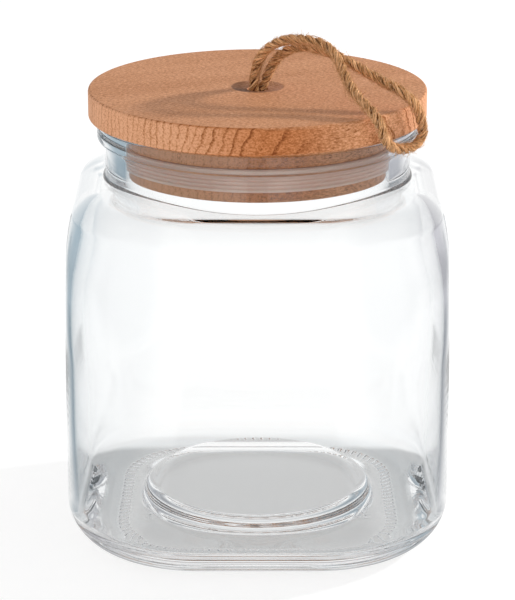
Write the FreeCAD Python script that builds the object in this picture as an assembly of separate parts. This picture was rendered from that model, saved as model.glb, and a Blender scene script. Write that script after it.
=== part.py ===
import FreeCAD, Part
import math
import os

# A square storage jar of clear glass with a round mouth, a wooden lid made of a disc and a plug,
# a ribbed seal round the plug, and a jute loop knotted through the lid.
# Millimetres, +Z up, the origin on the table under the middle of the jar, the front towards -Y.

# Outside of the jar
BODY_WIDTH = 154.4
PLAN_CORNER_RADIUS = 53.6
BASE_EDGE_RADIUS = 19.3
WIDEST_HEIGHT = 52.0
BOW_RADIUS = 2200.0
LEAN_START_HEIGHT = 118.0
LEAN_RADIUS = 97.0
LEAN_ANGLE = 13.8
SHOULDER_RADIUS = 11.6
DECK_ANGLE = 80.0

# Neck and rim
RIM_HEIGHT = 171.4
NECK_RADIUS = 61.0
NECK_FOOT_RADIUS = 3.1
COLLAR_WIDTH = 3.2
COLLAR_HEIGHT = 9.0
COLLAR_UNDER_RADIUS = 1.5
RIM_OUTER_RADIUS = 2.0
RIM_INNER_RADIUS = 1.5
NECK_WALL = 8.0
BORE_ENTRY_RADIUS = 4.0

# Inside of the jar
LEAST_WALL = 2.8
LEAST_WALL_HEIGHT = 80.0
INNER_SIDE_RADIUS = 263.0
INNER_FOOT_RADIUS = 3600.0
INNER_BASE_RADIUS = 6.0
INNER_SHOULDER_RADIUS = 10.0
DECK_THICKNESS = 4.9

# Base of the jar
GUTTER_THICKNESS = 10.0
GUTTER_FLAT = 16.8
MOUND_RISE = 6.5
MOUND_SLOPE = 8.5
BEARING_WIDTH = 5.4
PUNT_DEPTH = 2.6
PUNT_SLOPE = 17.0

# Heights at which the one piece of glass is parted into base, wall, shoulder and neck,
# so that each solid bends round the hollow in a simple way; the base ends a little above the mound
BASE_ABOVE_MOUND = 1.3
WALL_TOP = 139.5
SHOULDER_TOP = 150.5

# Wooden lid
DISC_OVERHANG = 3.3
DISC_THICKNESS = 11.2
DISC_EDGE_RADIUS = 1.0
DISH_RADIUS = 10.6
DISH_DEPTH = 1.2
PLUG_CLEARANCE = 1.5
PLUG_HEIGHT = 21.8
PLUG_LIP_HEIGHT = 4.2
PLUG_EDGE_RADIUS = 1.0
GROOVE_HEIGHT = 9.6
GROOVE_DEPTH = 2.5

# Seal ring
SEAL_RUNNING_CLEARANCE = 0.05
SEAL_END_CLEARANCE = 0.1
SEAL_BORE_CLEARANCE = 0.3
SEAL_RIB_RADIUS = 0.55
SEAL_RIBS = 6

# Rope
ROPE_DIAMETER = 3.8
STRAND_GAP = 0.38
STRAND_DIRECTION = 42.0
HOLE_CLEARANCE = 0.31
LOOP_START_DEPTH = 1.4
KNOT_DIAMETER = 15.0
KNOT_HEIGHT = 11.4
KNOT_EDGE_RADIUS = 4.5
KNOT_CLEARANCE = 0.3
RECESS_CLEARANCE = 2.5
BEND_SHARE = 0.45

# Middle of the loop from the hole, over the rim and back: plan position,
# and height above the top of the lid
LOOP_ROUTE = [
    (-1.6, -2.1, 6.8),
    (1.6, -4.4, 15.6),
    (8.0, -9.0, 21.0),
    (16.4, -15.0, 22.8),
    (25.0, -21.0, 22.8),
    (31.2, -27.0, 19.0),
    (34.0, -34.2, 14.0),
    (38.0, -42.6, 10.4),
    (43.2, -51.2, 8.0),
    (48.6, -57.8, 2.6),
    (50.5, -54.9, -5.8),
    (53.2, -49.7, -11.8),
    (57.5, -43.4, -14.8),
    (62.4, -37.5, -15.4),
    (66.6, -33.9, -11.8),
    (67.6, -35.2, -4.4),
    (65.4, -38.3, 3.2),
    (59.1, -37.5, 8.8),
    (51.7, -33.3, 10.8),
    (43.7, -28.1, 12.6),
    (35.5, -22.3, 15.8),
    (26.9, -16.3, 18.6),
    (17.3, -9.4, 19.4),
    (9.7, -3.8, 15.8),
    (4.8, 0.2, 8.0),
]

# Sizes that follow from the ones above
REACH = BODY_WIDTH / 2 - PLAN_CORNER_RADIUS
BASE_TOP = GUTTER_THICKNESS + MOUND_RISE + BASE_ABOVE_MOUND
COLLAR_RADIUS = NECK_RADIUS + COLLAR_WIDTH
BORE_RADIUS = NECK_RADIUS - NECK_WALL
LID_RADIUS = COLLAR_RADIUS + DISC_OVERHANG
LID_TOP = RIM_HEIGHT + DISC_THICKNESS
PLUG_RADIUS = BORE_RADIUS - PLUG_CLEARANCE
PLUG_BOTTOM = RIM_HEIGHT - PLUG_HEIGHT
GROOVE_BOTTOM = PLUG_BOTTOM + PLUG_LIP_HEIGHT
GROOVE_TOP = GROOVE_BOTTOM + GROOVE_HEIGHT
GROOVE_RADIUS = PLUG_RADIUS - GROOVE_DEPTH
STRAND_OFFSET = (ROPE_DIAMETER + STRAND_GAP) / 2
HOLE_RADIUS = STRAND_OFFSET + ROPE_DIAMETER / 2 + HOLE_CLEARANCE
LOOP_START = LID_TOP - LOOP_START_DEPTH
RECESS_RADIUS = KNOT_DIAMETER / 2 + RECESS_CLEARANCE
RECESS_TOP = PLUG_BOTTOM + KNOT_HEIGHT + RECESS_CLEARANCE
KNOT_TOP = RECESS_TOP - KNOT_CLEARANCE

UP = FreeCAD.Vector(0, 0, 1)
ORIGIN = FreeCAD.Vector(0, 0, 0)
TINY = 1e-6


def upright(point):
    """A point of an (x, height) outline, stood up in the XZ plane."""
    return FreeCAD.Vector(point[0], 0, point[1])


def outline_face(segments):
    """Face inside a closed outline of lines (two points) and arcs (three points)."""
    edges = []
    for segment in segments:
        points = [upright(point) for point in segment]
        if points[0].distanceToPoint(points[-1]) < TINY:
            continue
        curve = Part.LineSegment(*points) if len(points) == 2 else Part.Arc(*points)
        edges.append(curve.toShape())
    return Part.Face(Part.Wire(edges))


def rounded_outline(corners):
    """Closed outline from (x, height, rounding radius) corners."""
    places = [upright(corner) for corner in corners]
    arcs = []
    for index, corner in enumerate(corners):
        here = places[index]
        back = (places[index - 1] - here).normalize()
        ahead = (places[(index + 1) % len(corners)] - here).normalize()
        half_angle = back.getAngle(ahead) / 2
        bisector = (back + ahead).normalize()
        setback = corner[2] / math.tan(half_angle)
        middle = here + bisector * (corner[2] / math.sin(half_angle) - corner[2])
        arcs.append([(p.x, p.z) for p in (here + back * setback, middle, here + ahead * setback)])
    segments = []
    for index, arc in enumerate(arcs):
        segments.append(arc)
        segments.append([arc[2], arcs[(index + 1) % len(arcs)][0]])
    return segments


def turned(segments):
    """Solid of revolution about the jar's axis."""
    return outline_face(segments).revolve(ORIGIN, UP, 360)


def swept_square(segments):
    """Solid whose section across the flats is the outline, carried round the rounded square."""
    face = outline_face(segments)
    heights = [height for segment in segments for _, height in segment]
    corner_face = face.translated(FreeCAD.Vector(0, REACH, 0))
    corner = corner_face.revolve(FreeCAD.Vector(REACH, REACH, 0), UP, 90)
    side = face.translated(FreeCAD.Vector(0, -REACH, 0)).extrude(FreeCAD.Vector(0, 2 * REACH, 0))
    core_start = FreeCAD.Vector(-REACH, -REACH, min(heights))
    core = Part.makeBox(2 * REACH, 2 * REACH, max(heights) - min(heights), core_start)
    pieces = []
    for quarter in range(4):
        pieces.append(corner.rotated(ORIGIN, UP, 90 * quarter))
        pieces.append(side.rotated(ORIGIN, UP, 90 * quarter))
    return core.multiFuse(pieces).removeSplitter()


def corner_match(radius):
    """Half-width across the flats whose corner lies at this distance from the jar's axis."""
    return radius - REACH * (math.sqrt(2) - 1)


def wall_outline(start, turns, end_x):
    """Section of a wall that leans in as it climbs, closed along the corner axis.

    A turn is (radius, end angle off vertical, height of an upright run after it or None); the last
    angle is kept in a straight run as far as end_x.
    """
    x, height = start
    angle = -90.0
    segments = []
    for radius, end_angle, end_height in turns:
        points = []
        for share in (0, 0.5, 1):
            now = math.radians(angle + (end_angle - angle) * share)
            before = math.radians(angle)
            across = radius * (math.cos(before) - math.cos(now))
            climb = radius * (math.sin(now) - math.sin(before))
            points.append((x - across, height + climb))
        segments.append(points)
        x, height = points[-1]
        angle = end_angle
        if end_height is not None:
            segments.append([(x, height), (x, end_height)])
            height = end_height
    top = (end_x, height + (x - end_x) / math.tan(math.radians(angle)))
    segments.append([(x, height), top])
    segments.append([top, (REACH, top[1])])
    segments.append([(REACH, top[1]), (REACH, start[1])])
    segments.append([(REACH, start[1]), start])
    return segments


def deck_start():
    """Half-width and height at which the shoulder arc runs into the nearly flat deck."""
    bow = math.asin((LEAN_START_HEIGHT - WIDEST_HEIGHT) / BOW_RADIUS)
    lean = math.radians(LEAN_ANGLE)
    deck = math.radians(DECK_ANGLE)
    across = BOW_RADIUS * (1 - math.cos(bow))
    across += LEAN_RADIUS * (math.cos(bow) - math.cos(lean))
    across += SHOULDER_RADIUS * (math.cos(lean) - math.cos(deck))
    height = LEAN_START_HEIGHT
    height += LEAN_RADIUS * (math.sin(lean) - math.sin(bow))
    height += SHOULDER_RADIUS * (math.sin(deck) - math.sin(lean))
    return BODY_WIDTH / 2 - across, height


def jar_outside():
    """The jar below the neck, filled solid."""
    bow_angle = math.degrees(math.asin((LEAN_START_HEIGHT - WIDEST_HEIGHT) / BOW_RADIUS))
    start = (BODY_WIDTH / 2 - BASE_EDGE_RADIUS, 0)
    turns = [
        (BASE_EDGE_RADIUS, 0.0, WIDEST_HEIGHT),
        (BOW_RADIUS, bow_angle, None),
        (LEAN_RADIUS, LEAN_ANGLE, None),
        (SHOULDER_RADIUS, DECK_ANGLE, None),
    ]
    return swept_square(wall_outline(start, turns, corner_match(NECK_RADIUS)))


def inner_floor_edge():
    """Half-width at which the inner base curve meets the floor, and the side's lean there."""
    rise = LEAST_WALL_HEIGHT - GUTTER_THICKNESS - INNER_BASE_RADIUS
    lean = math.asin(rise / (INNER_FOOT_RADIUS - INNER_BASE_RADIUS))
    inset = LEAST_WALL + INNER_FOOT_RADIUS
    inset -= (INNER_FOOT_RADIUS - INNER_BASE_RADIUS) * math.cos(lean)
    return BODY_WIDTH / 2 - inset, math.degrees(lean)


def ceiling_start():
    """Half-width and height at which the inner shoulder meets the ceiling, and the side's lean."""
    deck = math.radians(DECK_ANGLE)
    height = deck_start()[1] - DECK_THICKNESS
    climb = height - LEAST_WALL_HEIGHT - INNER_SHOULDER_RADIUS * math.sin(deck)
    lean = math.asin(climb / (INNER_SIDE_RADIUS - INNER_SHOULDER_RADIUS))
    inset = LEAST_WALL + INNER_SIDE_RADIUS * (1 - math.cos(lean))
    inset += INNER_SHOULDER_RADIUS * (math.cos(lean) - math.cos(deck))
    return BODY_WIDTH / 2 - inset, height, math.degrees(lean)


def jar_inside():
    """The hollow below the neck, down to the gutter round the floor."""
    floor_edge, base_lean = inner_floor_edge()
    turns = [
        (INNER_BASE_RADIUS, -base_lean, None),
        (INNER_FOOT_RADIUS, 0.0, None),
        (INNER_SIDE_RADIUS, ceiling_start()[2], None),
        (INNER_SHOULDER_RADIUS, DECK_ANGLE, None),
    ]
    start = (floor_edge, GUTTER_THICKNESS)
    return swept_square(wall_outline(start, turns, corner_match(BORE_RADIUS)))


def soft_step(start, end):
    """Two equal arcs up from one level to another, flat at both ends."""
    across = end[0] - start[0]
    rise = end[1] - start[1]
    radius = (across ** 2 + rise ** 2) / (4 * rise)
    turn = 2 * math.atan2(rise, abs(across))
    low = []
    for share in (0, 0.5, 1):
        run = math.copysign(radius * math.sin(turn * share), across)
        low.append((start[0] + run, start[1] + radius * (1 - math.cos(turn * share))))
    high = [(start[0] + end[0] - x, start[1] + end[1] - height) for x, height in reversed(low)]
    return [low, high]


def mound():
    """The round, softly raised middle of the floor, seen through the glass."""
    foot = (inner_floor_edge()[0] - GUTTER_FLAT, GUTTER_THICKNESS)
    top = (foot[0] - MOUND_SLOPE, GUTTER_THICKNESS + MOUND_RISE)
    segments = soft_step(foot, top)
    segments.append([top, (0, top[1])])
    segments.append([(0, top[1]), (0, 0)])
    segments.append([(0, 0), (foot[0], 0)])
    segments.append([(foot[0], 0), foot])
    return turned(segments)


def punt():
    """The shallow recess under the base, softly sloped, inside the flat ring that the jar stands on."""
    edge = (BODY_WIDTH / 2 - BASE_EDGE_RADIUS - BEARING_WIDTH, 0)
    top = (edge[0] - PUNT_SLOPE, PUNT_DEPTH)
    segments = soft_step(edge, top)
    segments.append([top, (REACH, PUNT_DEPTH)])
    segments.append([(REACH, PUNT_DEPTH), (REACH, -PUNT_DEPTH)])
    segments.append([(REACH, -PUNT_DEPTH), (edge[0], -PUNT_DEPTH)])
    segments.append([(edge[0], -PUNT_DEPTH), edge])
    return swept_square(segments)


def neck_outside():
    """Neck and collar, filled solid, with a cove at the foot of the neck."""
    foot_radius = NECK_RADIUS + NECK_FOOT_RADIUS
    deck_edge, deck_height = deck_start()
    foot = deck_height + max(deck_edge - foot_radius, 0) / math.tan(math.radians(DECK_ANGLE))
    collar_bottom = RIM_HEIGHT - COLLAR_HEIGHT
    corners = [
        (0, foot - NECK_FOOT_RADIUS, 0),
        (foot_radius, foot - NECK_FOOT_RADIUS, 0),
        (foot_radius, foot, 0),
        (NECK_RADIUS, foot, NECK_FOOT_RADIUS),
        (NECK_RADIUS, collar_bottom, COLLAR_UNDER_RADIUS),
        (COLLAR_RADIUS, collar_bottom, COLLAR_WIDTH - COLLAR_UNDER_RADIUS),
        (COLLAR_RADIUS, RIM_HEIGHT, RIM_OUTER_RADIUS),
        (0, RIM_HEIGHT, 0),
    ]
    return turned(rounded_outline(corners))


def bore():
    """The mouth: a straight bore with a rounded entry at both ends."""
    wide = BORE_RADIUS + BORE_ENTRY_RADIUS
    lip = BORE_RADIUS + RIM_INNER_RADIUS
    ceiling_edge, ceiling_height, _ = ceiling_start()
    entry = ceiling_height + max(ceiling_edge - wide, 0) / math.tan(math.radians(DECK_ANGLE))
    corners = [
        (0, entry - BORE_ENTRY_RADIUS, 0),
        (wide, entry - BORE_ENTRY_RADIUS, 0),
        (wide, entry, 0),
        (BORE_RADIUS, entry, BORE_ENTRY_RADIUS),
        (BORE_RADIUS, RIM_HEIGHT, RIM_INNER_RADIUS),
        (lip, RIM_HEIGHT, 0),
        (lip, RIM_HEIGHT + RIM_INNER_RADIUS, 0),
        (0, RIM_HEIGHT + RIM_INNER_RADIUS, 0),
    ]
    return turned(rounded_outline(corners))


def moulded_jar():
    """The whole glass jar."""
    filled = jar_outside().fuse(neck_outside())
    hollow = jar_inside().cut(mound())
    return filled.cut(hollow).cut(bore()).cut(punt())


def below(height):
    """A block that holds everything under a height."""
    width = 2 * BODY_WIDTH
    return Part.makeBox(width, width, 2 * height, FreeCAD.Vector(-width / 2, -width / 2, -height))


def glass_base():
    """The thick base of the jar with the foot of its walls."""
    return moulded_jar().common(below(BASE_TOP))


def glass_wall():
    """The upright walls of the jar."""
    return moulded_jar().common(below(WALL_TOP)).cut(below(BASE_TOP))


def glass_shoulder():
    """The rounded shoulder and the deck round the neck's foot."""
    return moulded_jar().common(below(SHOULDER_TOP)).cut(below(WALL_TOP))


def glass_neck():
    """The neck, collar and rim of the jar."""
    return moulded_jar().cut(below(SHOULDER_TOP))


def lid_disc():
    """The board that rests on the rim, with a shallow dish round the rope hole."""
    sphere_radius = (DISH_RADIUS ** 2 + DISH_DEPTH ** 2) / (2 * DISH_DEPTH)
    middle_radius = (DISH_RADIUS + HOLE_RADIUS) / 2
    dish = []
    for radius in (DISH_RADIUS, middle_radius, HOLE_RADIUS):
        sphere_drop = math.sqrt(sphere_radius ** 2 - radius ** 2) - (sphere_radius - DISH_DEPTH)
        dish.append((radius, LID_TOP - sphere_drop))
    corners = [
        (HOLE_RADIUS, RIM_HEIGHT, 0),
        (LID_RADIUS, RIM_HEIGHT, DISC_EDGE_RADIUS),
        (LID_RADIUS, LID_TOP, DISC_EDGE_RADIUS),
        (HOLE_RADIUS, LID_TOP, 0),
    ]
    board = turned(rounded_outline(corners))
    scoop = turned([dish, [dish[2], (HOLE_RADIUS, LID_TOP)], [(HOLE_RADIUS, LID_TOP), dish[0]]])
    return board.cut(scoop)


def lid_plug():
    """The board glued under the disc, with the seal's groove and a recess for the knot."""
    corners = [
        (HOLE_RADIUS, RIM_HEIGHT, 0),
        (HOLE_RADIUS, RECESS_TOP, 0),
        (RECESS_RADIUS, RECESS_TOP, 0),
        (RECESS_RADIUS, PLUG_BOTTOM, 0),
        (PLUG_RADIUS, PLUG_BOTTOM, PLUG_EDGE_RADIUS),
        (PLUG_RADIUS, GROOVE_BOTTOM, 0),
        (GROOVE_RADIUS, GROOVE_BOTTOM, 0),
        (GROOVE_RADIUS, GROOVE_TOP, 0),
        (PLUG_RADIUS, GROOVE_TOP, 0),
        (PLUG_RADIUS, RIM_HEIGHT, 0),
    ]
    return turned(rounded_outline(corners))


def seal_ring():
    """The ribbed sleeve that fills the gap between plug and bore."""
    inner = GROOVE_RADIUS + SEAL_RUNNING_CLEARANCE
    outer = BORE_RADIUS - SEAL_BORE_CLEARANCE - SEAL_RIB_RADIUS
    low = GROOVE_BOTTOM + SEAL_END_CLEARANCE
    high = GROOVE_TOP - SEAL_END_CLEARANCE
    pitch = (high - low) / SEAL_RIBS
    segments = [[(inner, high), (inner, low)], [(inner, low), (outer, low)]]
    previous = (outer, low)
    for rib in range(SEAL_RIBS):
        middle = low + (rib + 0.5) * pitch
        start = (outer, middle - SEAL_RIB_RADIUS)
        crest = (outer + SEAL_RIB_RADIUS, middle)
        end = (outer, middle + SEAL_RIB_RADIUS)
        segments.append([previous, start])
        segments.append([start, crest, end])
        previous = end
    segments.append([previous, (outer, high)])
    segments.append([(outer, high), (inner, high)])
    return turned(segments)


def strand_place(side):
    """Plan position of one of the two rope strands in the hole."""
    angle = math.radians(STRAND_DIRECTION)
    return side * STRAND_OFFSET * math.cos(angle), side * STRAND_OFFSET * math.sin(angle)


def rope_line():
    """Middle line of the loop: straight runs joined by tangent arcs."""
    points = [FreeCAD.Vector(*strand_place(-1), LOOP_START)]
    for x, y, height in LOOP_ROUTE:
        points.append(FreeCAD.Vector(x, y, LID_TOP + height))
    points.append(FreeCAD.Vector(*strand_place(1), LOOP_START))
    edges = []
    radii = []
    last = points[0]
    for before, here, after in zip(points, points[1:], points[2:]):
        back = (before - here).normalize()
        ahead = (after - here).normalize()
        half_angle = back.getAngle(ahead) / 2
        setback = BEND_SHARE * min(before.distanceToPoint(here), here.distanceToPoint(after))
        radius = setback * math.tan(half_angle)
        bisector = (back + ahead).normalize()
        middle = here + bisector * (radius / math.sin(half_angle) - radius)
        bend_start = here + back * setback
        bend_end = here + ahead * setback
        edges.append(Part.LineSegment(last, bend_start).toShape())
        edges.append(Part.Arc(bend_start, middle, bend_end).toShape())
        radii.append(radius)
        last = bend_end
    edges.append(Part.LineSegment(last, points[-1]).toShape())
    return Part.Wire(edges), radii


def rope_loop():
    """The doubled rope above the lid, from the hole over the rim and back."""
    line, radii = rope_line()
    start = line.Edges[0]
    section = Part.Circle(start.valueAt(0), start.tangentAt(0), ROPE_DIAMETER / 2).toShape()
    tube = line.makePipeShell([Part.Wire(section)], True, False)
    expected = math.pi * ROPE_DIAMETER ** 2 / 4 * line.Length
    print("rope loop length", round(line.Length, 1), "volume share", round(tube.Volume / expected, 4))
    print("rope bend radii", [round(radius, 1) for radius in radii])
    return tube


def rope_knot():
    """Both strands through the hole and the knot that holds them under the disc."""
    radius = KNOT_DIAMETER / 2
    bottom = KNOT_TOP - KNOT_HEIGHT
    corners = [
        (0, bottom, 0),
        (radius, bottom, KNOT_EDGE_RADIUS),
        (radius, KNOT_TOP, KNOT_EDGE_RADIUS),
        (0, KNOT_TOP, 0),
    ]
    knot = turned(rounded_outline(corners))
    middle = (KNOT_TOP + bottom) / 2
    for side in (-1, 1):
        foot = FreeCAD.Vector(*strand_place(side), middle)
        strand = Part.makeCylinder(ROPE_DIAMETER / 2, LOOP_START - middle, foot)
        knot = knot.fuse(strand)
    return knot.removeSplitter()


os.makedirs("parts", exist_ok=True)
glass = (glass_base, glass_wall, glass_shoulder, glass_neck)
lid = (lid_disc, lid_plug, seal_ring, rope_loop, rope_knot)
for make in glass + lid:
    shape = make()
    print(make.__name__, shape.isValid(), len(shape.Solids), round(shape.Volume, 1))
    shape.Solids[0].exportStep("parts/" + make.__name__ + ".step")
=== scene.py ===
import math

import bpy
import numpy as np
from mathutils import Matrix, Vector


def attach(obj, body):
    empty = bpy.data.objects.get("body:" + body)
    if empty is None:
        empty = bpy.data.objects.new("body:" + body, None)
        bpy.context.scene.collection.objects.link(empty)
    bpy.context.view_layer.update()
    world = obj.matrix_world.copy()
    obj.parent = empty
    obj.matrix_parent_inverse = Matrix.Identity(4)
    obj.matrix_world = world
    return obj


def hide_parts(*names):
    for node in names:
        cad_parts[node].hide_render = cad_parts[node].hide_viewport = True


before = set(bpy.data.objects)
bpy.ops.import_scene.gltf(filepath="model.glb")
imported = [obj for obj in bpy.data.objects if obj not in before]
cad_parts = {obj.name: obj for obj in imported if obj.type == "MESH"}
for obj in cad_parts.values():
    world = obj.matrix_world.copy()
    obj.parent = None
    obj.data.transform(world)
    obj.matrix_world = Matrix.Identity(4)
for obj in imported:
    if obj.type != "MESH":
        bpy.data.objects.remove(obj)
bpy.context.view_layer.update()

# A square glass storage jar with a wooden plug lid and a jute loop, on a white sweep.
# Sizes below are in millimetres; everything is scaled to metres where meshes are made.

MM = 0.001

# Camera
CAMERA_PLACE = (0.0, -1.0761, 0.44155)
CAMERA_DOWN = 0.3131
CAMERA_LENS = 166.29

# Glass jar, outside
HALF_WIDTH = 77.2
PLAN_CORNER = 53.6
REACH = HALF_WIDTH - PLAN_CORNER
BASE_EDGE = 19.3
WIDEST_HEIGHT = 52.0
BOW_RADIUS = 2200.0
LEAN_START = 118.0
LEAN_RADIUS = 97.0
LEAN_ANGLE = 13.8
SHOULDER_RADIUS = 11.6
DECK_ANGLE = 80.0

# Glass jar, neck
RIM_HEIGHT = 171.4
NECK_RADIUS = 61.0
NECK_FOOT = 1.6
COLLAR_RADIUS = 64.2
COLLAR_HEIGHT = 9.0
COLLAR_UNDER = 1.5
RIM_OUTER = 2.0
RIM_INNER = 1.5
BORE_RADIUS = 53.0
BORE_ENTRY = 4.0

# Glass jar, inside and base
LEAST_WALL = 2.8
LEAST_WALL_HEIGHT = 80.0
INNER_SIDE_RADIUS = 263.0
INNER_FOOT_RADIUS = 3600.0
INNER_BASE_RADIUS = 6.0
INNER_SHOULDER_RADIUS = 10.0
DECK_THICKNESS = 4.9
FLOOR_HEIGHT = 10.0
MOUND_HEIGHT = 16.5
MOUND_FOOT = 51.0
MOUND_TOP = 42.5
PUNT_EDGE = 52.5
PUNT_TOP = 35.5
PUNT_DEPTH = 2.6

# Ring mesh of the jar: points along a side and round a corner
SIDE_POINTS = 33
CORNER_POINTS = 61
GLASS_BOUNCES = 40
KNURL_COUNT = 108
KNURL_DEPTH = 0.6
KNURL_BAND = (52.7, 53.2, 56.7, 57.2)

# Wood: the fibres' direction, and the mean width of a growth ring
FIBRE_ANGLE = math.radians(28)
RING_WIDTH = 2.7

# Rope
ROPE_DIAMETER = 3.8
ROPE_PITCH = 13.0
ROPE_FLUFF = 1.0
ROPE_STEP = 0.4
STRAND_POINTS = 14
FIBRE_COUNT = 1500

# Knot under the lid: a closed trefoil on the ends of two strands that hang in the hole
KNOT_TURN = 3.4
KNOT_SWING = 1.9
KNOT_MIDDLE = 157.5
KNOT_LIFT = 3.4

# Light: level of the white room round about and overhead, and what the glass shows of its sides and of the
# floor under the jar, with a painted shadow there
SIDE_LEVEL = 1.42
ZENITH_LEVEL = 0.30
ROOM_LEFT = (0.38, 0.47, 0.53, 1)
ROOM_RIGHT = (0.46, 0.46, 0.49, 1)
NEAR_SHADE = (0.52, 0.56, 0.58, 1)
CEILING = (0.52, 0.54, 0.56, 1)
UNDER_JAR_SHADOW = 0.58
FOOT_SHADE = (0.88, 0.90, 0.91, 1)

# Control points of the rope's middle line, from the hole over the rim and back
ROPE_ROUTE = [
    (-1.55, -1.40, 181.2),
    (-1.2, -2.1, 189.4),
    (1.8, -4.4, 197.4),
    (8.0, -9.0, 203.0),
    (16.4, -15.2, 205.4),
    (25.0, -21.4, 205.2),
    (30.6, -27.0, 201.6),
    (33.2, -33.4, 195.8),
    (36.2, -40.8, 191.0),
    (40.4, -48.6, 187.8),
    (45.6, -56.2, 183.8),
    (48.0, -54.8, 175.6),
    (51.4, -49.6, 170.2),
    (56.4, -43.0, 168.0),
    (61.4, -37.2, 167.8),
    (64.2, -34.0, 171.2),
    (63.4, -35.4, 178.0),
    (60.8, -38.8, 185.0),
    (55.0, -36.8, 189.8),
    (48.6, -31.8, 192.0),
    (41.8, -26.6, 194.8),
    (34.4, -21.4, 198.2),
    (26.2, -16.0, 201.0),
    (17.2, -9.4, 201.4),
    (9.8, -4.0, 197.6),
    (5.0, 0.0, 190.4),
    (1.55, 1.40, 181.2),
]


class Graph:
    """Adds nodes to a node tree and joins them."""

    def __init__(self, tree):
        self.tree = tree
        self.tree.nodes.clear()

    def node(self, kind, inputs=(), **settings):
        made = self.tree.nodes.new("ShaderNode" + kind)
        for name, value in settings.items():
            setattr(made, name, value)
        for name, value in dict(inputs).items():
            if isinstance(value, bpy.types.NodeSocket):
                self.tree.links.new(value, made.inputs[name])
            else:
                made.inputs[name].default_value = value
        return made

    def math(self, operation, *values, clamp=False):
        made = self.node("Math", enumerate(values), operation=operation, use_clamp=clamp)
        return made.outputs[0]

    def band(self, value, low, high):
        """0 below low, 1 above high, smooth between; low may be the larger."""
        inputs = {"Value": value, "From Min": low, "From Max": high}
        return self.node("MapRange", inputs, interpolation_type="SMOOTHSTEP").outputs[0]

    def mix(self, factor, first, second, blend="MIX"):
        inputs = {0: factor, 6: first, 7: second}
        return self.node("Mix", inputs, data_type="RGBA", blend_type=blend).outputs[2]

    def noise(self, vector, scale, detail=2.0, roughness=0.5):
        inputs = {"Vector": vector, "Scale": scale, "Detail": detail, "Roughness": roughness}
        return self.node("TexNoise", inputs).outputs[0]

    def place(self, vector, scale=(1, 1, 1), turn=0.0):
        inputs = {"Vector": vector, "Scale": scale, "Rotation": (0, 0, turn)}
        return self.node("Mapping", inputs).outputs[0]


def new_material(name):
    """A material with a Principled shader, and the graph to build on."""
    material = bpy.data.materials.new(name)
    material.use_nodes = True
    graph = Graph(material.node_tree)
    shader = graph.node("BsdfPrincipled")
    graph.node("OutputMaterial", {"Surface": shader.outputs[0]})
    return material, graph, shader


def new_object(name, points, faces, material, smooth=True):
    """A mesh object from points in millimetres."""
    mesh = bpy.data.meshes.new(name)
    mesh.from_pydata((np.asarray(points) * MM).tolist(), [], faces)
    mesh.validate()
    if smooth:
        mesh.shade_smooth()
    mesh.materials.append(material)
    made = bpy.data.objects.new(name, mesh)
    bpy.context.scene.collection.objects.link(made)
    return made


# Glass jar

def square_ring(half_width, height, finer=1):
    """Points of a rounded square, parallel to the jar's outline, anticlockwise from the front right."""
    radius = half_width - REACH
    points = []
    for quarter in range(4):
        turn = quarter * math.pi / 2
        c, s = math.cos(turn), math.sin(turn)
        local = []
        for k in range(SIDE_POINTS * finer):
            local.append((half_width, REACH * (2 * k / (SIDE_POINTS * finer) - 1)))
        for k in range(CORNER_POINTS * finer):
            a = math.pi / 2 * k / (CORNER_POINTS * finer)
            local.append((REACH + radius * math.cos(a), REACH + radius * math.sin(a)))
        points += [(c * x - s * y, s * x + c * y, height) for x, y in local]
    return np.array(points)


def inset_of(points):
    """How far inside the jar's outline points lie, measured square to it."""
    q = np.abs(points[:, :2]) - REACH
    outside = np.hypot(np.maximum(q[:, 0], 0), np.maximum(q[:, 1], 0))
    inside = np.minimum(np.maximum(q[:, 0], q[:, 1]), 0)
    return PLAN_CORNER - outside - inside


def wall_points(start, turns, steps):
    """(half-width, height) points up a wall that leans in as it climbs."""
    x, height = start
    angle = -90.0
    points = [start]
    for (radius, end_angle, end_height), count in zip(turns, steps):
        before = math.radians(angle)
        origin = (x, height)
        for k in range(1, count + 1):
            now = math.radians(angle + (end_angle - angle) * k / count)
            x = origin[0] - radius * (math.cos(before) - math.cos(now))
            height = origin[1] + radius * (math.sin(now) - math.sin(before))
            points.append((x, height))
        angle = end_angle
        if end_height is not None:
            for share in (0.1, 0.3, 0.6, 0.9, 1.0):
                points.append((x, height + (end_height - height) * share))
            height = end_height
    return points


def outer_wall():
    """Outside of the jar from the bearing ring up to the deck."""
    bow = math.degrees(math.asin((LEAN_START - WIDEST_HEIGHT) / BOW_RADIUS))
    turns = [
        (BASE_EDGE, 0.0, WIDEST_HEIGHT),
        (BOW_RADIUS, bow, None),
        (LEAN_RADIUS, LEAN_ANGLE, None),
        (SHOULDER_RADIUS, DECK_ANGLE, None),
    ]
    return wall_points((HALF_WIDTH - BASE_EDGE, 0.0), turns, (36, 14, 14, 20))


def inner_wall(ceiling):
    """Inside of the jar from the gutter up to the ceiling."""
    span = INNER_FOOT_RADIUS - INNER_BASE_RADIUS
    lean = math.asin((LEAST_WALL_HEIGHT - FLOOR_HEIGHT - INNER_BASE_RADIUS) / span)
    floor_edge = HALF_WIDTH - LEAST_WALL - INNER_FOOT_RADIUS + span * math.cos(lean)
    rise = ceiling - LEAST_WALL_HEIGHT - INNER_SHOULDER_RADIUS * math.sin(math.radians(DECK_ANGLE))
    top = math.degrees(math.asin(rise / (INNER_SIDE_RADIUS - INNER_SHOULDER_RADIUS)))
    turns = [
        (INNER_BASE_RADIUS, -math.degrees(lean), None),
        (INNER_FOOT_RADIUS, 0.0, None),
        (INNER_SIDE_RADIUS, top, None),
        (INNER_SHOULDER_RADIUS, DECK_ANGLE, None),
    ]
    return wall_points((floor_edge, FLOOR_HEIGHT), turns, (28, 16, 18, 20))


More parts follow.
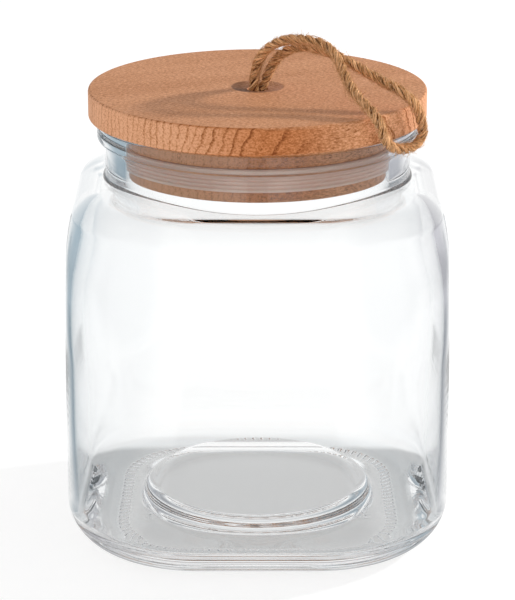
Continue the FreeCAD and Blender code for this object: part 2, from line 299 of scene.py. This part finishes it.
def s_step(start, end, count):
    """Points of two equal arcs from one level to another, flat at both ends."""
    width, rise = end[0] - start[0], end[1] - start[1]
    radius = (width ** 2 + rise ** 2) / (4 * abs(rise))
    turn = 2 * math.atan2(abs(rise), abs(width))
    half = []
    for k in range(count + 1):
        a = turn * k / count
        across = math.copysign(radius * math.sin(a), width)
        up = math.copysign(radius * (1 - math.cos(a)), rise)
        half.append((start[0] + across, start[1] + up))
    back = [(start[0] + end[0] - x, start[1] + end[1] - z) for x, z in reversed(half[:-1])]
    return half + back


def corner_arc(centre, radius, start, end, count):
    """(radius, height) points of an arc, angles in degrees."""
    points = []
    for k in range(count + 1):
        a = math.radians(start + (end - start) * k / count)
        points.append((centre[0] + radius * math.cos(a), centre[1] + radius * math.sin(a)))
    return points


def knurled(ring, half_width):
    """Short grooves across the ring that the jar stands on."""
    low, full, fade, high = KNURL_BAND
    window = np.interp(half_width, (low, full, fade, high), (0, 1, 1, 0))
    steps = np.linalg.norm(np.diff(ring, axis=0, append=ring[:1]), axis=1)
    phase = 2 * math.pi * KNURL_COUNT * np.cumsum(steps) / np.sum(steps)
    ring[:, 2] += KNURL_DEPTH * window * (0.5 - 0.5 * np.cos(phase)) ** 2
    return ring


def sheet_between(edge_ring, circle_radius, angles, height_of, count):
    """Rings from a rounded square to a circle, on a given surface."""
    rings = []
    far = np.hypot(edge_ring[:, 0], edge_ring[:, 1])
    for k in range(1, count + 1):
        share = k / count
        radius = far * (1 - share) + circle_radius * share
        ring = np.column_stack([radius * np.cos(angles), radius * np.sin(angles), radius * 0])
        ring[:, 2] = height_of(ring)
        rings.append(ring)
    return rings


def jar_rings():
    """All rings of the jar's surface, from under the base, up the outside and down the inside."""
    outer = outer_wall()
    deck_x, deck_z = outer[-1]
    ceiling = deck_z - DECK_THICKNESS
    inner = inner_wall(ceiling)
    ceiling_x = inner[-1][0]
    slope = 1 / math.tan(math.radians(DECK_ANGLE))
    rings = []

    punt_top = square_ring(PUNT_TOP, PUNT_DEPTH)
    for share in (0.1, 0.35, 0.65, 0.9, 0.98):
        rings.append(punt_top * (share, share, 1))
    for x, z in reversed(s_step((PUNT_EDGE, 0.0), (PUNT_TOP, PUNT_DEPTH), 12)):
        rings.append(square_ring(x, z))
    knurls = np.linspace(KNURL_BAND[0], KNURL_BAND[3], 11)
    for x, finer in [(PUNT_EDGE + 0.1, 2)] + [(x, 4) for x in knurls] + [(KNURL_BAND[3] + 0.2, 2)]:
        rings.append(knurled(square_ring(x, 0.0, finer), x))
    for x, z in [(KNURL_BAND[3] + 0.4, 0.0)] + outer:
        rings.append(square_ring(x, z))

    deck_edge = square_ring(deck_x, deck_z)
    angles = np.arctan2(deck_edge[:, 1], deck_edge[:, 0])
    foot_radius = NECK_RADIUS + NECK_FOOT

    def deck_height(points):
        return deck_z + (inset_of(points) - (HALF_WIDTH - deck_x)) * slope

    rings += sheet_between(deck_edge, foot_radius, angles, deck_height, 8)
    foot = rings[-1][:, 2]

    def circle(radius, height):
        flat = np.column_stack([radius * np.cos(angles), radius * np.sin(angles)])
        return np.column_stack([flat, np.broadcast_to(height, len(angles))])

    for r, z in corner_arc((foot_radius, NECK_FOOT), NECK_FOOT, 270, 180, 8)[1:]:
        rings.append(circle(r, foot + z))
    under = RIM_HEIGHT - COLLAR_HEIGHT
    for share in (0.1, 0.5, 0.9):
        rings.append(circle(NECK_RADIUS, (foot + NECK_FOOT) * (1 - share) + (under - COLLAR_UNDER) * share))
    collar_edge = COLLAR_RADIUS - NECK_RADIUS - COLLAR_UNDER
    profile = corner_arc((NECK_RADIUS + COLLAR_UNDER, under - COLLAR_UNDER), COLLAR_UNDER, 180, 90, 8)
    profile += corner_arc((COLLAR_RADIUS - collar_edge, under + collar_edge), collar_edge, 270, 360, 8)[1:]
    profile.append((COLLAR_RADIUS, under + collar_edge + 0.3))
    profile.append((COLLAR_RADIUS, RIM_HEIGHT - RIM_OUTER - 0.3))
    profile += corner_arc((COLLAR_RADIUS - RIM_OUTER, RIM_HEIGHT - RIM_OUTER), RIM_OUTER, 0, 90, 8)
    profile.append((COLLAR_RADIUS - RIM_OUTER - 0.3, RIM_HEIGHT))
    profile.append((BORE_RADIUS + RIM_INNER + 0.3, RIM_HEIGHT))
    profile += corner_arc((BORE_RADIUS + RIM_INNER, RIM_HEIGHT - RIM_INNER), RIM_INNER, 90, 180, 8)
    rings += [circle(r, z) for r, z in profile]

    def ceiling_height(points):
        return ceiling + (inset_of(points) - (HALF_WIDTH - ceiling_x)) * slope

    entry = ceiling_height(circle(BORE_RADIUS + BORE_ENTRY, 0.0))
    lip = RIM_HEIGHT - RIM_INNER
    for share in (0.02, 0.25, 0.5, 0.75, 0.98):
        rings.append(circle(BORE_RADIUS, lip * (1 - share) + (entry + BORE_ENTRY) * share))
    for r, z in corner_arc((BORE_RADIUS + BORE_ENTRY, BORE_ENTRY), BORE_ENTRY, 180, 270, 10):
        rings.append(circle(r, entry + z))
    ceiling_edge = square_ring(ceiling_x, ceiling)
    strip = sheet_between(ceiling_edge, BORE_RADIUS + BORE_ENTRY, angles, ceiling_height, 8)
    rings += list(reversed(strip[:-1]))
    for x, z in reversed(inner):
        rings.append(square_ring(x, z))
    for x, z in s_step((MOUND_FOOT, FLOOR_HEIGHT), (MOUND_TOP, MOUND_HEIGHT), 12):
        rings.append(circle(x, z))
    for share in (0.98, 0.9, 0.65, 0.35, 0.1):
        rings.append(circle(MOUND_TOP * share, MOUND_HEIGHT))
    return rings


def stitch(rings):
    """Points and faces of a closed surface through rings whose counts may double or halve."""
    points = [(0.0, 0.0, rings[0][0][2])]
    starts = []
    for ring in rings:
        starts.append(len(points))
        points += ring.tolist()
    points.append((0.0, 0.0, rings[-1][0][2]))
    faces = []
    first, last = len(rings[0]), len(rings[-1])
    for k in range(first):
        faces.append((0, starts[0] + (k + 1) % first, starts[0] + k))
    for low, high in zip(range(len(rings)), range(1, len(rings))):
        n, m = len(rings[low]), len(rings[high])
        a, b = starts[low], starts[high]
        for k in range(min(n, m)):
            after = (k + 1) % min(n, m)
            if n == m:
                faces.append((a + k, a + after, b + after, b + k))
            elif m > n:
                faces.append((a + k, a + after, b + 2 * k + 1))
                faces.append((a + k, b + 2 * k + 1, b + 2 * k))
                faces.append((a + after, b + (2 * k + 2) % m, b + 2 * k + 1))
            else:
                faces.append((b + after, b + k, a + 2 * k + 1))
                faces.append((b + k, a + 2 * k, a + 2 * k + 1))
                faces.append((b + after, a + 2 * k + 1, a + (2 * k + 2) % n))
    end = len(points) - 1
    for k in range(last):
        faces.append((end, starts[-1] + k, starts[-1] + (k + 1) % last))
    return points, faces


def glass_material():
    """Clear soda glass."""
    material, _, shader = new_material("clear_glass")
    shader.inputs["Base Color"].default_value = (0.99, 0.995, 0.995, 1)
    shader.inputs["Roughness"].default_value = 0.0
    shader.inputs["IOR"].default_value = 1.5
    shader.inputs["Transmission Weight"].default_value = 1.0
    return material


def make_jar():
    points, faces = stitch(jar_rings())
    jar = new_object("jar_glass", points, faces, glass_material())
    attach(jar, "jar")
    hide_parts("glass_base", "glass_wall", "glass_shoulder", "glass_neck")


# Wooden lid

def wood_material(name, light, middle, dark, ring_strength):
    """Beech: growth rings on end grain, short flecks along the fibres elsewhere, and painted shade in the
    dish round the rope's hole.
    """
    material, graph, shader = new_material(name)
    place = graph.node("TexCoord").outputs
    local = graph.place(place["Object"], (1000, 1000, 1000), -FIBRE_ANGLE)
    split = graph.node("SeparateXYZ", {0: local}).outputs
    facing = graph.node("SeparateXYZ", {0: graph.place(place["Normal"], turn=-FIBRE_ANGLE)}).outputs
    end_on = graph.math("ABSOLUTE", facing[0])
    end_grain = graph.band(end_on, 0.1, 0.8)
    side_grain = graph.band(graph.math("ABSOLUTE", facing[1]), 0.5, 1.0)

    warp = graph.noise(graph.place(local, (0.012, 0.05, 0.05)), 1.0)
    crook = graph.noise(graph.place(local, (0.02, 0.3, 0.3)), 1.0, 2.0)
    across = graph.math("ADD", split[1], graph.math("MULTIPLY", warp, 5.0))
    across = graph.math("ADD", across, graph.math("MULTIPLY", crook, 1.6))
    lean = graph.math("MULTIPLY", graph.math("SUBTRACT", split[2], 177.0), 0.23)
    across = graph.math("ADD", across, graph.math("MULTIPLY", lean, graph.band(split[1], -32.0, -46.0)))
    count = graph.math("DIVIDE", across, RING_WIDTH)
    ring = graph.math("FRACT", count)
    year = graph.noise(graph.node("CombineXYZ", {0: graph.math("FLOOR", count)}).outputs[0], 3.7, 0.0)
    late = graph.math("MULTIPLY", graph.band(ring, 0.62, 0.90), graph.band(ring, 1.0, 0.96))
    late = graph.math("MULTIPLY", late, graph.band(year, 0.1, 0.7))
    fading = graph.math("MULTIPLY_ADD", graph.band(end_on, 0.65, 0.95), -0.6, 1.0)
    clearness = graph.math("MULTIPLY", graph.band(end_on, 0.10, 0.42), fading)
    late = graph.math("MULTIPLY", late, graph.math("MULTIPLY_ADD", clearness, ring_strength, 0.06))

    fibre = graph.noise(graph.place(local, (0.25, 2.2, 2.2)), 1.0, 3.0, 0.65)
    fleck = graph.band(fibre, 0.54, 0.72)
    fleck = graph.math("MULTIPLY", fleck, graph.math("MULTIPLY_ADD", side_grain, 0.5, 0.12))
    speck = graph.noise(graph.place(local, (0.7, 1.5, 1.5)), 1.0, 3.0, 0.75)
    broad = graph.noise(graph.place(local, (0.008, 0.05, 0.05)), 1.0, 2.0)
    shade = graph.math("ADD", graph.math("MULTIPLY_ADD", speck, 2.5, -0.92), fleck)
    shade = graph.math("ADD", shade, graph.math("MULTIPLY_ADD", broad, 0.5, -0.25))
    # Painted light: faces on the end grain, which make up much of the rim, are made lighter.
    shade = graph.math("ADD", shade, graph.math("MULTIPLY", end_grain, -0.22))
    shade = graph.math("ADD", shade, late, clamp=True)
    ramp = graph.node("ValToRGB", {"Fac": shade})
    stops = ramp.color_ramp.elements
    stops[0].color = light
    stops[1].color = dark
    stops.new(0.35).color = middle

    flat = graph.place(local, (1, 1, 0))
    radius = graph.node("VectorMath", {0: flat}, operation="LENGTH").outputs["Value"]
    # Painted shade in the dish round the rope's hole: darker on its left side, lighter on its right.
    dish_shade_mask = graph.math("MULTIPLY", graph.band(radius, 11.0, 10.0), graph.band(facing[2], 0.4, 0.8))
    dish_shade = graph.mix(graph.band(split[0], -6.0, 6.0), (0.35, 0.33, 0.32, 1), (0.70, 0.70, 0.74, 1))
    colour = graph.mix(dish_shade_mask, ramp.outputs[0], dish_shade, "MULTIPLY")
    heart = graph.math("MULTIPLY", graph.band(facing[0], -0.90, -0.42), graph.band(facing[0], 0.14, -0.34))
    heart = graph.math("MULTIPLY", heart, graph.band(facing[1], 0.0, -0.5))
    colour = graph.mix(heart, colour, (0.80, 0.60, 0.41, 1), "MULTIPLY")
    graph.tree.links.new(colour, shader.inputs["Base Color"])
    shader.inputs["Roughness"].default_value = 0.65
    shader.inputs["Specular IOR Level"].default_value = 0.15
    bump = graph.node("Bump", {"Strength": 0.2, "Distance": 0.0002, "Height": shade})
    graph.tree.links.new(bump.outputs[0], shader.inputs["Normal"])
    return material


def set_material(node, material):
    """Gives a carried-over solid a single new material."""
    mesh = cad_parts[node].data
    mesh.materials.clear()
    mesh.materials.append(material)


def make_lid():
    light, middle, dark = (0.75, 0.39, 0.225, 1), (0.575, 0.262, 0.122, 1), (0.26, 0.085, 0.024, 1)
    set_material("lid_disc", wood_material("disc_beech", light, middle, dark, 0.75))
    # The plug's beech is painted lighter than the disc's: painted light, for the shade it sits in inside the
    # glass neck.
    light, middle = (0.80, 0.42, 0.23, 1), (0.68, 0.33, 0.16, 1)
    set_material("lid_plug", wood_material("plug_beech_painted_light", light, middle, dark, 0.30))


def make_seal():
    material, graph, shader = new_material("silicone_painted_light")
    place = graph.node("TexCoord").outputs["Object"]
    cloud = graph.noise(place, 60.0, 3.0)
    # Its colour is painted lighter than the silicone's own: painted light, for the shade it sits in inside
    # the glass neck.
    colour = graph.mix(cloud, (0.86, 0.62, 0.52, 1), (0.80, 0.56, 0.46, 1))
    graph.tree.links.new(colour, shader.inputs["Base Color"])
    shader.inputs["Roughness"].default_value = 0.45
    shader.inputs["Subsurface Weight"].default_value = 1.0
    shader.inputs["Subsurface Radius"].default_value = (1.0, 0.9, 0.85)
    shader.inputs["Subsurface Scale"].default_value = 0.003
    set_material("seal_ring", material)


# Rope

def spline_line(name, points):
    """Points along a smooth NURBS line through the neighbourhood of the control points."""
    curve = bpy.data.curves.new(name, "CURVE")
    curve.dimensions = "3D"
    curve.resolution_u = 24
    spline = curve.splines.new("NURBS")
    spline.points.add(len(points) - 1)
    for place, point in zip(spline.points, points):
        place.co = (point[0], point[1], point[2], 1)
    spline.order_u = 3
    spline.use_endpoint_u = True
    holder = bpy.data.objects.new(name, curve)
    bpy.context.scene.collection.objects.link(holder)
    bpy.context.view_layer.update()
    mesh = bpy.data.meshes.new_from_object(holder.evaluated_get(bpy.context.evaluated_depsgraph_get()))
    line = np.array([v.co for v in mesh.vertices])
    bpy.data.objects.remove(holder)
    bpy.data.curves.remove(curve)
    bpy.data.meshes.remove(mesh)
    keep = np.r_[True, np.linalg.norm(np.diff(line, axis=0), axis=1) > 1e-6]
    return line[keep]


def even_steps(line, step):
    """The same line with evenly spaced points, and the distance along it."""
    along = np.r_[0, np.cumsum(np.linalg.norm(np.diff(line, axis=0), axis=1))]
    count = int(round(along[-1] / step))
    places = np.linspace(0, along[-1], count + 1)
    return np.column_stack([np.interp(places, along, line[:, k]) for k in range(3)]), places


def unit(vectors):
    return vectors / np.linalg.norm(vectors, axis=-1, keepdims=True)


def carried_frames(line):
    """Two directions square to the line at each point, carried along it without twist."""
    tangents = unit(np.gradient(line, axis=0))
    side = np.cross(tangents[0], (0.0, 1.0, 0.3))
    sides = []
    for tangent in tangents:
        side = side - tangent * (side @ tangent)
        side = side / np.linalg.norm(side)
        sides.append(side)
    sides = np.array(sides)
    return sides, np.cross(tangents, sides)


def ply(line, along, number, spread, strand_radius):
    """One ply of a three-ply rope: a lobed tube that winds round the line."""
    sides, ups = carried_frames(line)
    sway = 0.25 * np.sin(along * 0.21 + 2.0 * number) + 0.2 * np.sin(along * 0.47 + number)
    turn = 2 * math.pi * (along / ROPE_PITCH + number / 3) + sway
    out = np.cos(turn)[:, None] * sides + np.sin(turn)[:, None] * ups
    middle = line + out * spread
    tangents = unit(np.gradient(middle, axis=0))
    out = unit(out - tangents * np.sum(out * tangents, axis=1, keepdims=True))
    across = np.cross(tangents, out)
    rings = []
    for k in range(STRAND_POINTS):
        a = 2 * math.pi * k / STRAND_POINTS
        lobes = 1 + 0.08 * np.cos(5 * a - 2 * math.pi * along / 4.7 + number)
        swell = 1 + 0.10 * np.sin(along * 0.53 + 2.1 * number) + 0.07 * np.cos(2 * a + along * 0.37 + number)
        radius = (strand_radius * lobes * swell)[:, None]
        rings.append(middle + radius * (math.cos(a) * out + math.sin(a) * across))
    return np.stack(rings, axis=1)


def tube_faces(rows, columns, first):
    """Quads of a tube of rings, with both ends closed."""
    faces = []
    for i in range(rows - 1):
        for k in range(columns):
            after = (k + 1) % columns
            low, high = first + i * columns, first + (i + 1) * columns
            faces.append((low + k, low + after, high + after, high + k))
    faces.append(tuple(first + k for k in reversed(range(columns))))
    faces.append(tuple(first + (rows - 1) * columns + k for k in range(columns)))
    return faces


def rope_mesh(name, lines, material):
    """A three-ply rope along each line, with fibre coordinates for its material."""
    points, faces, fibres = [], [], []
    ply_radius = ROPE_FLUFF * ROPE_DIAMETER / 2 / (1 + 2 / math.sqrt(3))
    for line in lines:
        steps, along = even_steps(line, ROPE_STEP)
        for number in range(3):
            rings = ply(steps, along, number, ply_radius * 2 / math.sqrt(3), ply_radius)
            rows = len(rings)
            faces += tube_faces(rows, STRAND_POINTS, len(points))
            points += rings.reshape(-1, 3).tolist()
            round_ply = np.tile(np.arange(STRAND_POINTS) / STRAND_POINTS, rows)
            fibres += np.column_stack([np.repeat(along, STRAND_POINTS), round_ply + 10 * number]).tolist()
    rope = new_object(name, points, faces, material)
    layer = rope.data.uv_layers.new(name="fibres")
    corners = np.zeros(len(rope.data.loops), dtype=np.int32)
    rope.data.loops.foreach_get("vertex_index", corners)
    layer.data.foreach_set("uv", np.array(fibres)[corners].astype(np.float32).ravel())
    return rope


def jute_material():
    """Golden brown jute: streaks along the fibres, light and dark yarns, and painted shade in the crevices
    between the plies.
    """
    material, graph, shader = new_material("jute")
    fibres = graph.node("TexCoord").outputs["UV"]
    streak = graph.noise(graph.place(fibres, (0.35, 14.0, 1.0)), 1.0, 3.0, 0.6)
    patch = graph.noise(graph.place(fibres, (0.12, 1.5, 1.0)), 1.0, 2.0)
    tone = graph.math("ADD", graph.math("MULTIPLY", streak, 0.7), graph.math("MULTIPLY", patch, 0.5))
    ramp = graph.node("ValToRGB", {"Fac": tone})
    stops = ramp.color_ramp.elements
    stops[0].position, stops[0].color = 0.45, (0.17, 0.074, 0.022, 1)
    stops[1].position, stops[1].color = 0.67, (0.95, 0.58, 0.31, 1)
    middle = stops.new(0.58)
    middle.color = (0.62, 0.31, 0.125, 1)
    round_ply = graph.math("FRACT", graph.node("SeparateXYZ", {0: fibres}).outputs[1])
    outward = graph.math("COSINE", graph.math("MULTIPLY", round_ply, 2 * math.pi))
    # Painted shade: each ply is darker on its side that turns in towards the others.
    crevice_shade = graph.band(outward, 0.45, -0.35)
    colour = graph.mix(crevice_shade, ramp.outputs[0], (0.33, 0.25, 0.19, 1), "MULTIPLY")
    graph.tree.links.new(colour, shader.inputs["Base Color"])
    shader.inputs["Roughness"].default_value = 0.8
    shader.inputs["Specular IOR Level"].default_value = 0.2
    bump = graph.node("Bump", {"Strength": 0.5, "Distance": 0.0003, "Height": streak})
    graph.tree.links.new(bump.outputs[0], shader.inputs["Normal"])
    return material


def fibre_material():
    """Single jute fibres, some pale and some brown."""
    material, graph, shader = new_material("jute_fibre")
    place = graph.node("TexCoord").outputs["Object"]
    tone = graph.noise(place, 900.0, 1.0)
    colour = graph.mix(graph.band(tone, 0.35, 0.65), (0.50, 0.25, 0.09, 1), (0.86, 0.53, 0.29, 1))
    graph.tree.links.new(colour, shader.inputs["Base Color"])
    shader.inputs["Roughness"].default_value = 0.7
    shader.inputs["Specular IOR Level"].default_value = 0.2
    return material


def thread(points, middles, thick):
    """Adds the points of a thin three-sided thread that tapers at its end, and returns its faces."""
    first = len(points)
    tangents = unit(np.gradient(middles, axis=0))
    for index, (middle, tangent) in enumerate(zip(middles, tangents)):
        side = unit(np.cross(tangent, (0.31, 0.52, 0.79)))
        up = np.cross(tangent, side)
        size = thick * (1 - 0.7 * index / (len(middles) - 1))
        for k in range(3):
            a = 2 * math.pi * k / 3
            points.append((middle + size * (math.cos(a) * side + math.sin(a) * up)).tolist())
    return tube_faces(len(middles), 3, first)


def laid_fibres(line, material):
    """Loose fibres: some wound along the rope's surface, some that stand off it."""
    random = np.random.RandomState(7)
    steps, along = even_steps(line, ROPE_STEP)
    sides, ups = carried_frames(steps)
    points, faces = [], []
    for _ in range(FIBRE_COUNT):
        run = random.randint(8, 26)
        start = random.randint(2, len(steps) - run - 2)
        at = np.linspace(start, start + run, 7).astype(int)
        share = np.linspace(0, 1, 7)
        wound = 2 * math.pi * (along[at] - along[start]) / ROPE_PITCH * random.uniform(0.3, 1.5)
        angle = random.uniform(0, 2 * math.pi) + wound
        lift = 0.47 + random.uniform(0.0, 0.07) + random.choice((0.0, 0.0, 0.25, 0.6)) * share ** 2
        out = np.cos(angle)[:, None] * sides[at] + np.sin(angle)[:, None] * ups[at]
        middles = steps[at] + out * (ROPE_DIAMETER * lift)[:, None]
        faces += thread(points, middles, random.uniform(0.05, 0.11))
    return new_object("rope_fibres", points, faces, material)


def knot_lines():
    """Middle lines of the two strands in the hole and of the knot below them."""
    t = np.linspace(0, 2 * math.pi, 200)
    out = KNOT_TURN + KNOT_SWING * np.cos(3 * t)
    height = KNOT_MIDDLE + KNOT_LIFT * np.sin(3 * t)
    knot = np.column_stack([out * np.cos(2 * t), out * np.sin(2 * t), height])
    strands = []
    for end in (ROPE_ROUTE[0], ROPE_ROUTE[-1]):
        heights = np.linspace(end[2], KNOT_MIDDLE, 60)
        strands.append(np.column_stack([np.full(60, end[0]), np.full(60, end[1]), heights]))
    return strands + [knot]


def make_rope():
    jute = jute_material()
    line = spline_line("rope_line", ROPE_ROUTE)
    loop = rope_mesh("rope_strands", [line], jute)
    fuzz = laid_fibres(line, fibre_material())
    knot = rope_mesh("knot_strands", knot_lines(), jute)
    for piece in (loop, fuzz, knot):
        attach(piece, "loop")
    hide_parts("rope_loop")
    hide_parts("rope_knot")


# Floor, light and camera

def seen_in_glass(graph):
    """1 for what the camera sees by way of glass, 0 for what it sees directly or what lights the object."""
    path = graph.node("LightPath").outputs
    by_glass = graph.math("MAXIMUM", path["Is Glossy Ray"], path["Is Transmission Ray"])
    return graph.math("MULTIPLY", by_glass, graph.math("LESS_THAN", path["Diffuse Depth"], 0.5))


def make_floor():
    """A white sweep; in the glass its sides fall off to the room's grey, and it shows a painted shadow under
    the jar and painted shade round its foot.
    """
    material, graph, shader = new_material("white_sweep")
    shader.inputs["Roughness"].default_value = 1.0
    shader.inputs["Specular IOR Level"].default_value = 0.0
    place = graph.node("TexCoord").outputs["Object"]
    at = graph.node("SeparateXYZ", {0: place}).outputs
    aside = graph.math("ABSOLUTE", at[0])
    deep = graph.math("ABSOLUTE", at[1])
    beyond = graph.math("SUBTRACT", aside, graph.math("MULTIPLY_ADD", deep, 0.12, 0.080))
    beyond = graph.math("DIVIDE", beyond, graph.math("MULTIPLY_ADD", deep, 0.5, 0.04))
    room = graph.mix(graph.math("GREATER_THAN", at[0], 0.0), ROOM_LEFT, ROOM_RIGHT)
    away = graph.node("VectorMath", {0: place}, operation="LENGTH").outputs["Value"]
    room = graph.mix(graph.band(away, 0.85, 0.35), room, NEAR_SHADE, "MULTIPLY")
    glow = graph.mix(graph.band(beyond, 0.0, 1.0), (1, 1, 1, 1), room)
    # Painted shadow: the floor under the jar is darker where the glass shows it.
    under = graph.math("MULTIPLY", graph.band(aside, 0.090, 0.075), graph.band(at[1], 0.060, 0.052))
    glow = graph.mix(under, glow, (UNDER_JAR_SHADOW, UNDER_JAR_SHADOW, UNDER_JAR_SHADOW, 1), "MULTIPLY")
    corner = [graph.math("MAXIMUM", graph.math("SUBTRACT", side, REACH * MM), 0.0) for side in (aside, deep)]
    corner = graph.node("CombineXYZ", enumerate(corner)).outputs[0]
    edge = graph.node("VectorMath", {0: corner}, operation="LENGTH").outputs["Value"]
    inset = graph.math("SUBTRACT", PLAN_CORNER * MM, edge)
    # Painted shade on the floor in the narrow gap under the jar's rounded foot, seen only in the glass.
    foot_wedge_shade = graph.math("MULTIPLY", graph.band(inset, -0.002, 0.012), graph.band(inset, 0.022, 0.019))
    glow = graph.mix(foot_wedge_shade, glow, FOOT_SHADE, "MULTIPLY")
    glow = graph.mix(seen_in_glass(graph), (1, 1, 1, 1), glow)
    graph.tree.links.new(graph.mix(1.0, glow, (0.30, 0.30, 0.30, 1), "MULTIPLY"), shader.inputs["Base Color"])
    graph.tree.links.new(glow, shader.inputs["Emission Color"])
    shader.inputs["Emission Strength"].default_value = 0.79
    reach = 6000.0
    corners = [(-reach, -reach, 0), (reach, -reach, 0), (reach, reach, 0), (-reach, reach, 0)]
    floor = new_object("floor", corners, [(0, 1, 2, 3)], material, smooth=False)


def make_world():
    """White room; mirrored and refracted rays see its darker sides."""
    world = bpy.data.worlds.new("studio")
    world.use_nodes = True
    bpy.context.scene.world = world
    graph = Graph(world.node_tree)
    way = graph.node("SeparateXYZ", {0: graph.node("TexCoord").outputs["Generated"]}).outputs
    colour = graph.mix(graph.band(way[0], -0.12, -0.70), (1, 1, 1, 1), ROOM_LEFT)
    colour = graph.mix(graph.band(way[0], 0.12, 0.70), colour, ROOM_RIGHT)
    colour = graph.mix(graph.band(way[2], 0.15, 0.75), colour, CEILING, "MULTIPLY")
    level = graph.math("MULTIPLY_ADD", graph.math("ABSOLUTE", way[2]), ZENITH_LEVEL - SIDE_LEVEL, SIDE_LEVEL)
    grey = graph.node("CombineXYZ", {0: level, 1: level, 2: level}).outputs[0]
    colour = graph.mix(seen_in_glass(graph), grey, colour)
    light = graph.node("Background", {"Color": colour})
    graph.node("OutputWorld", {"Surface": light.outputs[0]})


def make_lamp():
    """A small, low light from the right and behind, for the rope's shadow on the lid."""
    data = bpy.data.lights.new("side_light", "AREA")
    data.shape = "RECTANGLE"
    data.size = 0.09
    data.size_y = 0.09
    data.energy = 14.0
    lamp = bpy.data.objects.new("side_light", data)
    lamp.location = (1.12, 0.46, 0.66)
    target = Vector((0.0, 0.0, 0.15))
    lamp.rotation_euler = (target - lamp.location).to_track_quat("-Z", "Y").to_euler()
    lamp.visible_glossy = False
    lamp.visible_transmission = False
    bpy.context.scene.collection.objects.link(lamp)


def make_camera():
    data = bpy.data.cameras.new("camera")
    data.lens = CAMERA_LENS
    data.clip_end = 100
    camera = bpy.data.objects.new("camera", data)
    camera.location = CAMERA_PLACE
    camera.rotation_euler = (math.pi / 2 - CAMERA_DOWN, 0, 0)
    bpy.context.scene.collection.objects.link(camera)
    bpy.context.scene.camera = camera


make_camera()
make_rope()
make_jar()
make_lid()
make_seal()
make_floor()
make_world()
make_lamp()
bpy.context.scene.view_settings.view_transform = "Standard"
bpy.context.scene.cycles.max_bounces = GLASS_BOUNCES
bpy.context.scene.cycles.glossy_bounces = GLASS_BOUNCES
bpy.context.scene.cycles.transmission_bounces = GLASS_BOUNCES
